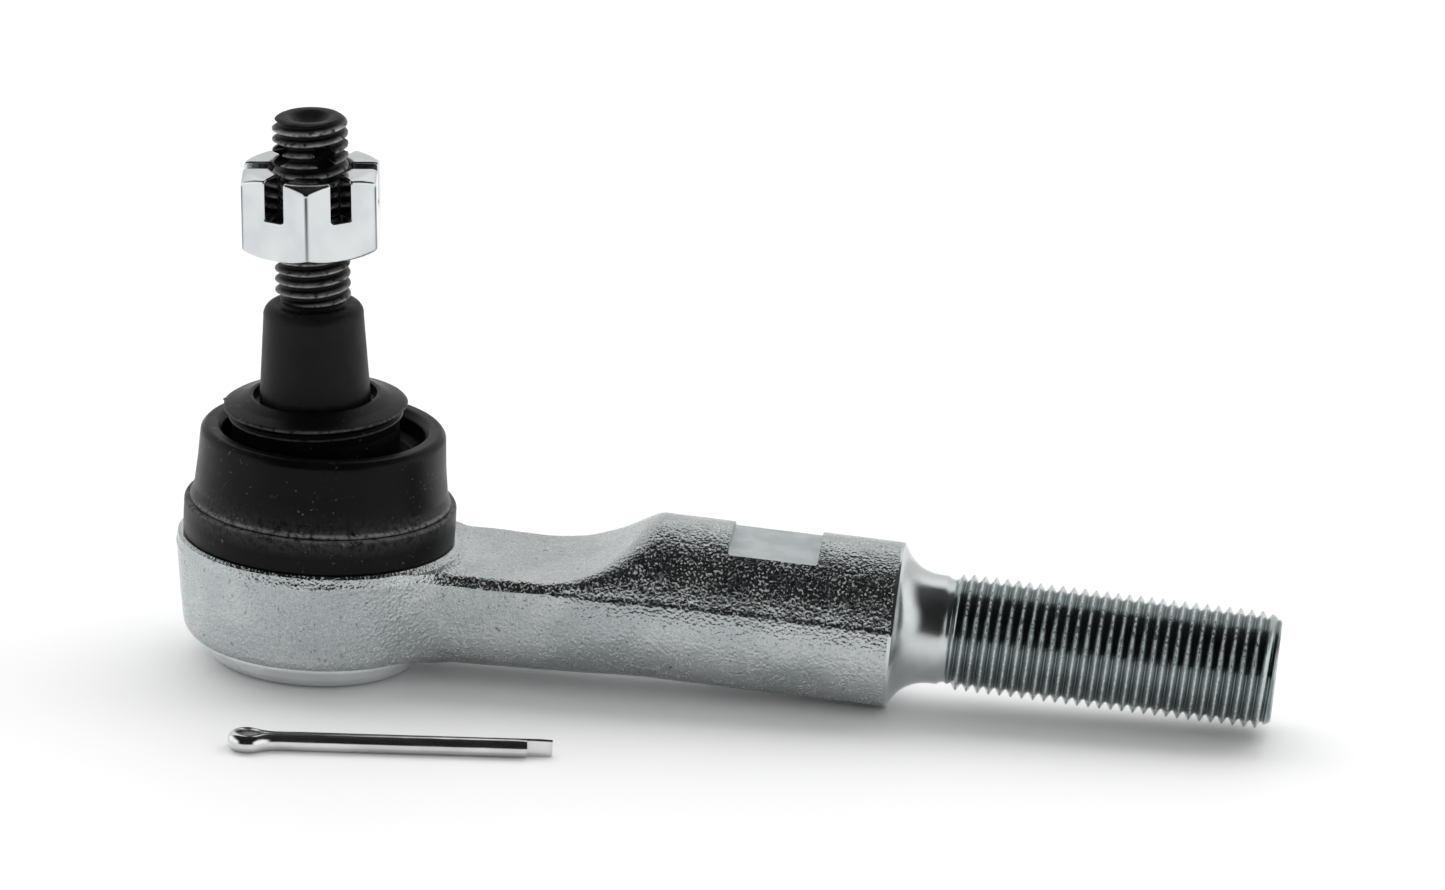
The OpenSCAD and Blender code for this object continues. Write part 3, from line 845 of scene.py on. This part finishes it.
def make_pin():
    t, g, eye = 1.62, 0.15, 2.05
    far, near = 56.6, 51.8
    a1, x0, x1 = 38.0, 9.0, eye * math.sin(rad(38.0))

    def side(sign, length):
        pts = [(length, sign * g)]
        for x in np.linspace(length, x0, 26)[1:]:
            pts.append((float(x), sign * g))
        ye = eye * math.cos(rad(a1))
        slope = -math.tan(rad(a1))
        for i in range(1, 13):
            u = i / 12
            x = x0 + (x1 - x0) * u
            d = x1 - x0
            h00, h10, h01, h11 = 2 * u ** 3 - 3 * u ** 2 + 1, u ** 3 - 2 * u ** 2 + u, -2 * u ** 3 + 3 * u ** 2, u ** 3 - u ** 2
            pts.append((x, sign * (h00 * g + h10 * 0 * d + h01 * ye + h11 * slope * d)))
        return pts
    one = side(-1, near)
    two = side(1, far)[::-1]
    loop = [(eye * math.sin(rad(a)), -eye * math.cos(rad(a))) for a in np.linspace(a1, a1 - (180 + 2 * a1), 40)[1:-1]]
    path = np.array(one + loop + two)
    tan = np.gradient(path, axis=0)
    tan /= np.linalg.norm(tan, axis=1)[:, None]
    inner = np.stack([tan[:, 1], -tan[:, 0]], -1)          # towards the loop's inside, whichever way it runs
    if inner[0, 1] < 0:
        inner = -inner
    sec = []
    for a in np.linspace(-86, 86, 15):
        sec.append((-t * math.cos(rad(a)), 1.72 * math.sin(rad(a))))
    sec += [(-0.06, 1.70), (0.0, 1.60), (0.0, 0.8), (0.0, 0.0), (0.0, -0.8), (0.0, -1.60), (-0.06, -1.70)]
    m = len(sec)
    verts = []
    for i, (p, n) in enumerate(zip(path, inner)):
        k = 0.93 if i in (0, len(path) - 1) else 1.0
        for a, b in sec:
            off = a * k - (0.0 if k == 1.0 else 0.02)
            verts.append((p[0] + n[0] * off, p[1] + n[1] * off, b * k))
    verts = np.array(verts)
    # the cut ends are drawn back a little on their round side
    count = len(path)
    quads = []
    for i in range(count - 1):
        for j in range(m):
            k = (j + 1) % m
            quads.append((i * m + j, i * m + k, (i + 1) * m + k, (i + 1) * m + j))
    verts[:m, 0] += 0.12
    verts[(count - 1) * m:, 0] += 0.12
    tris = []
    for i in (0, count - 1):
        c = len(verts)
        verts = np.vstack([verts, verts[i * m:(i + 1) * m].mean(0)])
        for j in range(m):
            tris.append((c, i * m + j, i * m + (j + 1) % m))
    wob = 0.03 * noise3(verts + 5.0, 6.0)
    verts[:, 1] += wob
    rz = rot_z(rad(9.0))
    verts = verts @ rz.T + np.array([-5.2, -54.6, FLOOR + 1.74])
    ob = new_object("cotter_pin_wire", verts, quads, tris)
    soften(ob, 45)
    return ob


# ---------------------------------------------------------------- materials
class Nodes:
    """Short names for building one material's node tree."""

    def __init__(self, name):
        old = bpy.data.materials.get(name)
        self.mat = old or bpy.data.materials.new(name)
        self.mat.use_nodes = True
        self.t = self.mat.node_tree
        self.t.nodes.clear()
        self.out = self.t.nodes.new('ShaderNodeOutputMaterial')
        self.p = self.t.nodes.new('ShaderNodeBsdfPrincipled')
        self.t.links.new(self.p.outputs[0], self.out.inputs[0])
        self.coord = self.t.nodes.new('ShaderNodeTexCoord').outputs['Object']

    def new(self, kind, **sets):
        n = self.t.nodes.new(kind)
        for k, v in sets.items():
            setattr(n, k, v)
        return n

    def put(self, socket, value):
        if hasattr(value, 'links') or hasattr(value, 'node'):
            self.t.links.new(value, socket)
        else:
            socket.default_value = value

    def noise(self, scale, detail=3.0, rough=0.55, stretch=None, w=None):
        n = self.new('ShaderNodeTexNoise')
        n.inputs['Scale'].default_value = scale
        n.inputs['Detail'].default_value = detail
        n.inputs['Roughness'].default_value = rough
        vec = self.coord
        if stretch:
            m = self.new('ShaderNodeMapping')
            m.inputs['Scale'].default_value = stretch
            self.t.links.new(vec, m.inputs[0])
            vec = m.outputs[0]
        self.t.links.new(vec, n.inputs['Vector'])
        return n.outputs[0]

    def voronoi(self, scale, feature='F1', smooth=None):
        n = self.new('ShaderNodeTexVoronoi', feature=feature)
        n.inputs['Scale'].default_value = scale
        if smooth is not None and feature == 'SMOOTH_F1':
            n.inputs['Smoothness'].default_value = smooth
        self.t.links.new(self.coord, n.inputs['Vector'])
        return n.outputs['Distance']

    def math(self, op, a, b=0.0, c=0.0, clamp=False):
        n = self.new('ShaderNodeMath', operation=op, use_clamp=clamp)
        for s, v in zip(n.inputs, (a, b, c)):
            self.put(s, v)
        return n.outputs[0]

    def span(self, v, a, b, c=0.0, d=1.0):
        n = self.new('ShaderNodeMapRange', interpolation_type='SMOOTHSTEP')
        n.inputs['From Min'].default_value = a
        n.inputs['From Max'].default_value = b
        n.inputs['To Min'].default_value = c
        n.inputs['To Max'].default_value = d
        self.t.links.new(v, n.inputs['Value'])
        return n.outputs[0]

    def mix(self, f, a, b):
        n = self.new('ShaderNodeMix', data_type='RGBA')
        self.put(n.inputs[0], f)
        self.put(n.inputs[6], a if not isinstance(a, tuple) else a + (1.0,) * (4 - len(a)))
        self.put(n.inputs[7], b if not isinstance(b, tuple) else b + (1.0,) * (4 - len(b)))
        return n.outputs[2]

    def attr(self, name):
        n = self.new('ShaderNodeAttribute', attribute_name=name)
        return n.outputs['Fac']

    def bump(self, height, dist, strength=1.0, then=None):
        n = self.new('ShaderNodeBump')
        n.inputs['Strength'].default_value = strength
        n.inputs['Distance'].default_value = dist
        self.t.links.new(height, n.inputs['Height'])
        if then is not None:
            self.t.links.new(then, n.inputs['Normal'])
        return n.outputs[0]

    def set(self, **kw):
        names = dict(color='Base Color', metal='Metallic', rough='Roughness', normal='Normal', spec='Specular IOR Level',
                     coat='Coat Weight', coat_rough='Coat Roughness', ior='IOR')
        for k, v in kw.items():
            s = self.p.inputs[names[k]]
            if isinstance(v, tuple) and k == 'color':
                v = v + (1.0,) * (4 - len(v))
            self.put(s, v)
        return self.mat


def zinc_forged():
    n = Nodes("look_zinc_forged")
    pebble = n.voronoi(1500.0, 'SMOOTH_F1', 0.3)
    coarse = n.noise(1150.0, 3.0, 0.6)
    fine = n.noise(2900.0, 2.0, 0.6)
    broad = n.noise(60.0, 3.0, 0.5)
    height = n.math('ADD', n.math('MULTIPLY', pebble, 0.9), n.math('MULTIPLY', coarse, 1.0))
    height = n.math('ADD', height, n.math('MULTIPLY', fine, 0.4))
    bump = n.bump(height, 0.00019)
    # grains that face every way and catch the light one by one
    fleck = n.span(n.noise(2050.0, 1.0, 0.5), 0.585, 0.62)
    fleck = n.math('MULTIPLY', fleck, n.span(n.noise(240.0, 2.0, 0.5), 0.36, 0.58, 0.35, 1.0))
    pits = n.span(n.noise(700.0, 2.0, 0.5), 0.67, 0.72)
    scuff = n.span(broad, 0.42, 0.62)
    col = n.mix(scuff, (0.43, 0.465, 0.475), (0.52, 0.55, 0.555))
    col = n.mix(n.math('MULTIPLY', fleck, 0.85), col, (0.52, 0.545, 0.55))
    col = n.mix(n.math('MULTIPLY', pits, 0.6), col, (0.12, 0.13, 0.13))
    rough = n.math('ADD', n.span(coarse, 0.35, 0.65, 0.12, 0.20), n.math('MULTIPLY', pits, 0.2))
    metal = n.math('SUBTRACT', 1.0, n.math('MULTIPLY', fleck, 0.75))
    return n.set(color=col, metal=metal, rough=rough, normal=bump)


def zinc_machined(name="look_zinc_machined", tone=(0.62, 0.65, 0.66), rough=0.2, lines=True):
    n = Nodes(name)
    grain = n.noise(900.0, 3.0, 0.6)
    broad = n.noise(120.0, 3.0, 0.5)
    col = n.mix(n.span(broad, 0.35, 0.65), tone, tuple(0.86 * c for c in tone))
    r = n.span(broad, 0.3, 0.7, rough * 0.85, rough * 1.3)
    h = n.math('ADD', n.math('MULTIPLY', grain, 0.5), n.noise(250.0, 2.0))
    return n.set(color=col, metal=1.0, rough=r, normal=n.bump(h, 0.000022))


def zinc_thread():
    n = Nodes("look_zinc_thread")
    grain = n.noise(1500.0, 3.0, 0.65)
    broad = n.noise(180.0, 3.0, 0.55)
    # painted highlight: the crests, broken up by noise, are made lighter and less metallic so they show as bright
    # lines
    crest = n.math('MULTIPLY', n.attr("crest"), n.span(n.noise(1300.0, 2.0), 0.38, 0.60, 0.15, 1.0))
    root = n.attr("root")
    col = n.mix(n.span(broad, 0.35, 0.65), (0.50, 0.55, 0.56), (0.40, 0.45, 0.46))
    # painted shade: the thread roots are painted dark
    col = n.mix(n.math('MULTIPLY', root, 0.75), col, (0.10, 0.12, 0.12))
    col = n.mix(crest, col, (0.52, 0.545, 0.545))
    h = n.math('ADD', n.math('MULTIPLY', grain, 0.6), n.noise(480.0, 2.0))
    metal = n.math('SUBTRACT', 1.0, n.math('MULTIPLY', crest, 0.7))
    return n.set(color=col, metal=metal, rough=n.span(broad, 0.3, 0.7, 0.15, 0.25), normal=n.bump(h, 0.00004))


def zinc_pocket():
    n = Nodes("look_zinc_pocket")
    grain = n.noise(1300.0, 3.0, 0.6)
    broad = n.noise(210.0, 3.0, 0.55)
    mill = n.noise(400.0, 2.0, 0.5, stretch=(3.0, 0.25, 1.0))
    col = n.mix(n.span(broad, 0.35, 0.65), (0.45, 0.49, 0.495), (0.38, 0.42, 0.425))
    h = n.math('ADD', n.math('MULTIPLY', grain, 0.5), mill)
    return n.set(color=col, metal=0.6, rough=n.span(broad, 0.3, 0.7, 0.34, 0.44), normal=n.bump(h, 0.00003))


def zinc_bright():
    n = Nodes("look_zinc_bright")
    broad = n.noise(95.0, 3.0, 0.5)
    inside = n.attr("bore")
    col = n.mix(n.span(broad, 0.35, 0.65), (0.70, 0.725, 0.735), (0.60, 0.63, 0.645))
    # painted shade: the corner lines are painted near black
    corner = n.attr("corner")
    col = n.mix(corner, col, (0.04, 0.045, 0.05))
    # painted shade: the bore is painted dark and made rougher
    col = n.mix(inside, col, (0.10, 0.10, 0.10))
    r = n.math('ADD', n.span(n.noise(300.0, 3.0), 0.3, 0.7, 0.09, 0.17), n.math('MULTIPLY', inside, 0.3))
    h = n.math('ADD', n.noise(140.0, 2.0), n.math('MULTIPLY', n.noise(1100.0, 2.0), 0.2))
    return n.set(color=col, metal=1.0, rough=r, normal=n.bump(h, 0.00005))


def zinc_cover():
    n = Nodes("look_zinc_cover")
    broad = n.noise(70.0, 3.0, 0.5)
    col = n.mix(n.span(broad, 0.35, 0.65), (0.84, 0.87, 0.88), (0.74, 0.77, 0.78))
    h = n.math('ADD', n.noise(150.0, 2.0), n.math('MULTIPLY', n.noise(1500.0, 3.0), 0.35))
    return n.set(color=col, metal=1.0, rough=n.span(broad, 0.3, 0.7, 0.25, 0.34), normal=n.bump(h, 0.00003))


def phosphate():
    n = Nodes("look_phosphate")
    grain = n.noise(2200.0, 4.0, 0.65)
    broad = n.noise(240.0, 4.0, 0.6)
    wear = n.math('MULTIPLY', n.attr("wear"), n.span(n.noise(900.0, 3.0), 0.28, 0.55))
    ball = n.attr("ball")
    bright = n.math('MAXIMUM', wear, n.math('MULTIPLY', ball, 0.8))
    col = n.mix(n.span(broad, 0.35, 0.65), (0.0025, 0.0025, 0.0027), (0.006, 0.006, 0.0062))
    col = n.mix(n.math('MULTIPLY', bright, 0.85), col, (0.46, 0.46, 0.46))
    rough = n.math('SUBTRACT', n.span(broad, 0.3, 0.7, 0.40, 0.52), n.math('MULTIPLY', bright, 0.16))
    metal = n.math('MULTIPLY', bright, 0.45)
    # painted shade: the inside of the cross holes is painted near black, dull and not metallic
    hole = n.attr("hole")
    col = n.mix(hole, col, (0.0004, 0.0004, 0.0004))
    metal = n.math('MULTIPLY', metal, n.math('SUBTRACT', 1.0, hole))
    rough = n.math('ADD', rough, n.math('MULTIPLY', hole, 0.5), clamp=True)
    h = n.math('ADD', grain, n.math('MULTIPLY', broad, 0.8))
    return n.set(color=col, metal=metal, rough=rough, normal=n.bump(h, 0.000045), spec=0.15)


def rubber(name="look_boot_rubber", tone=0.0015, rough=0.34):
    n = Nodes(name)
    grain = n.noise(2600.0, 3.0, 0.6)
    broad = n.noise(120.0, 4.0, 0.6)
    specks = n.span(n.noise(1250.0, 2.0, 0.5), 0.665, 0.72)
    few = n.span(n.noise(90.0, 2.0, 0.5), 0.45, 0.65)
    dust = n.math('MULTIPLY', n.attr("dust"), n.span(n.noise(900.0, 4.0, 0.7), 0.30, 0.62))
    k = n.math('ADD', n.math('MULTIPLY', dust, 0.62), n.math('MULTIPLY', n.math('MULTIPLY', specks, few), 0.30), clamp=True)
    col = n.mix(n.span(broad, 0.35, 0.65), (tone, tone, tone), (tone * 1.7, tone * 1.7, tone * 1.7))
    col = n.mix(k, col, (0.30, 0.30, 0.295))
    r = n.math('ADD', n.span(broad, 0.3, 0.7, rough * 0.9, rough * 1.12), n.math('MULTIPLY', k, 0.3))
    h = n.math('ADD', n.math('MULTIPLY', grain, 0.5), n.math('ADD', broad, n.math('MULTIPLY', k, 0.8)))
    return n.set(color=col, metal=0.0, rough=r, normal=n.bump(h, 0.00004), spec=0.11)


def pin_steel():
    n = Nodes("look_pin_steel")
    draw = n.noise(260.0, 3.0, 0.6, stretch=(0.06, 1.0, 1.0))
    broad = n.noise(120.0, 2.0)
    col = n.mix(n.span(broad, 0.35, 0.65), (0.76, 0.765, 0.765), (0.62, 0.625, 0.63))
    return n.set(color=col, metal=1.0, rough=n.span(draw, 0.3, 0.7, 0.10, 0.2), normal=n.bump(draw, 0.00006))


def simple(name, tone, metal, rough, scale, dist, spec=0.5):
    n = Nodes(name)
    a = n.noise(scale, 3.0, 0.6)
    col = n.mix(n.span(a, 0.35, 0.65), tone, tuple(0.78 * c for c in tone))
    return n.set(color=col, metal=metal, rough=n.span(a, 0.3, 0.7, rough * 0.85, rough * 1.2), normal=n.bump(a, dist), spec=spec)


def dress(ob, *mats):
    ob.data.materials.clear()
    for m in mats:
        ob.data.materials.append(m)


# ---------------------------------------------------------------- pieces
def finish_piece(ob, body, slot, node, *mats):
    keep = None
    if len(mats) > 1:
        keep = np.empty(len(ob.data.polygons), np.int32)
        ob.data.polygons.foreach_get("material_index", keep)
    dress(ob, *mats)
    if keep is not None:
        ob.data.polygons.foreach_set("material_index", keep)
    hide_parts(node)
    if body:
        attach(ob, body)


forging = make_forging()
choose(forging, forging_faces)
finish_piece(forging, "housing", "zinc_forging", "housing_forging",
             zinc_forged(), zinc_machined(), zinc_thread(), zinc_pocket())

stud = make_stud()
finish_piece(stud, "stud", "phosphate_steel", "ball_stud", phosphate())

nut = make_nut()
finish_piece(nut, "nut", "zinc_bright", "castle_nut", zinc_bright())

boot = make_boot()
finish_piece(boot, None, "boot_rubber", "dust_boot", rubber())
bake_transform(boot)

band = make_band()
finish_piece(band, "housing", "band_black", "boot_clamp_ring", rubber("look_band_black", 0.0020, 0.36))

cover = make_cover()
finish_piece(cover, "housing", "zinc_forging", "end_cover", zinc_cover())

pin = make_pin()
finish_piece(pin, "pin", "pin_steel", "cotter_pin", pin_steel())

polymer = simple("look_polymer", (0.42, 0.40, 0.34), 0.0, 0.42, 700.0, 0.00003)
spring = simple("look_spring_steel", (0.20, 0.21, 0.24), 1.0, 0.3, 500.0, 0.00003)
bush = simple("look_neck_bush", (0.03, 0.03, 0.03), 0.0, 0.45, 900.0, 0.00003)
for node, look in (("upper_bearing", polymer), ("lower_bearing", polymer), ("preload_spring", spring), ("boot_neck_ring", bush)):
    dress(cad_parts[node], look)

# ---------------------------------------------------------------- floor and light
bm = bmesh.new()
bmesh.ops.create_grid(bm, x_segments=12, y_segments=12, size=2.2)
floor_mesh = bpy.data.meshes.new("floor")
bm.to_mesh(floor_mesh)
bm.free()
floor = bpy.data.objects.new("floor", floor_mesh)
floor.location = (0.08, 0, (FLOOR - 0.02) * MM)
scene.collection.objects.link(floor)
fl = bpy.data.materials.new("floor_white")
fl.use_nodes = True
fp = fl.node_tree.nodes["Principled BSDF"]
fp.inputs['Base Color'].default_value = (0.95, 0.95, 0.95, 1)
fp.inputs['Roughness'].default_value = 0.55
fp.inputs['Specular IOR Level'].default_value = 0.25
floor_mesh.materials.append(fl)

world = bpy.data.worlds.new("studio")
scene.world = world
world.use_nodes = True
wt = world.node_tree
wt.nodes.clear()


def wn(kind, **sets):
    n = wt.nodes.new(kind)
    for k, v in sets.items():
        setattr(n, k, v)
    return n


def wmath(op, a, b=0.0, clamp=False):
    n = wn('ShaderNodeMath', operation=op, use_clamp=clamp)
    for s, v in zip(n.inputs, (a, b)):
        if hasattr(v, 'links'):
            wt.links.new(v, s)
        else:
            s.default_value = v
    return n.outputs[0]


def wspan(v, a, b, c=0.0, d=1.0):
    n = wn('ShaderNodeMapRange', interpolation_type='SMOOTHSTEP')
    for k, x in zip(('From Min', 'From Max', 'To Min', 'To Max'), (a, b, c, d)):
        n.inputs[k].default_value = x
    wt.links.new(v, n.inputs['Value'])
    return n.outputs[0]


tc = wn('ShaderNodeTexCoord').outputs['Generated']
sep = wn('ShaderNodeSeparateXYZ')
wt.links.new(tc, sep.inputs[0])
dx, dy, dz = sep.outputs
# a big soft source behind and overhead, white walls at the sides and back, the dark room on the camera's side
behind = wspan(dy, 0.36, 0.58)
over = wspan(dy, -0.10, 0.30)
low = wspan(dz, 0.10, 0.0)
high = wspan(dz, 0.30, 0.75)
side = wmath('MULTIPLY', wspan(wmath('ABSOLUTE', dx), 0.55, 0.85), wspan(dz, 0.75, 0.35))
bright = wmath('MULTIPLY', behind, wmath('ADD', 0.95, wmath('MULTIPLY', high, 0.35)))
bright = wmath('MAXIMUM', bright, wmath('MULTIPLY', side, 1.5))
soft = wmath('MULTIPLY', over, wmath('ADD', 1.20, wmath('MULTIPLY', high, 1.7)))
front = wmath('ADD', 0.010, wmath('MULTIPLY', low, 0.9))
glossy = wmath('MAXIMUM', bright, front)
diffuse = wmath('MAXIMUM', soft, wmath('ADD', 0.80, wmath('MULTIPLY', low, 0.3)))
lp = wn('ShaderNodeLightPath')
choice = wn('ShaderNodeMix', data_type='FLOAT')
wt.links.new(lp.outputs['Is Glossy Ray'], choice.inputs[0])
wt.links.new(diffuse, choice.inputs[2])
wt.links.new(glossy, choice.inputs[3])
value = choice.outputs[0]
pick = wn('ShaderNodeMix', data_type='FLOAT')
wt.links.new(lp.outputs['Is Camera Ray'], pick.inputs[0])
wt.links.new(value, pick.inputs[2])
pick.inputs[3].default_value = 1.0
bg = wn('ShaderNodeBackground')
wt.links.new(pick.outputs[0], bg.inputs['Strength'])
wo = wn('ShaderNodeOutputWorld')
wt.links.new(bg.outputs[0], wo.inputs[0])

scene.view_settings.view_transform = 'Standard'
scene.view_settings.look = 'None'
make_camera()
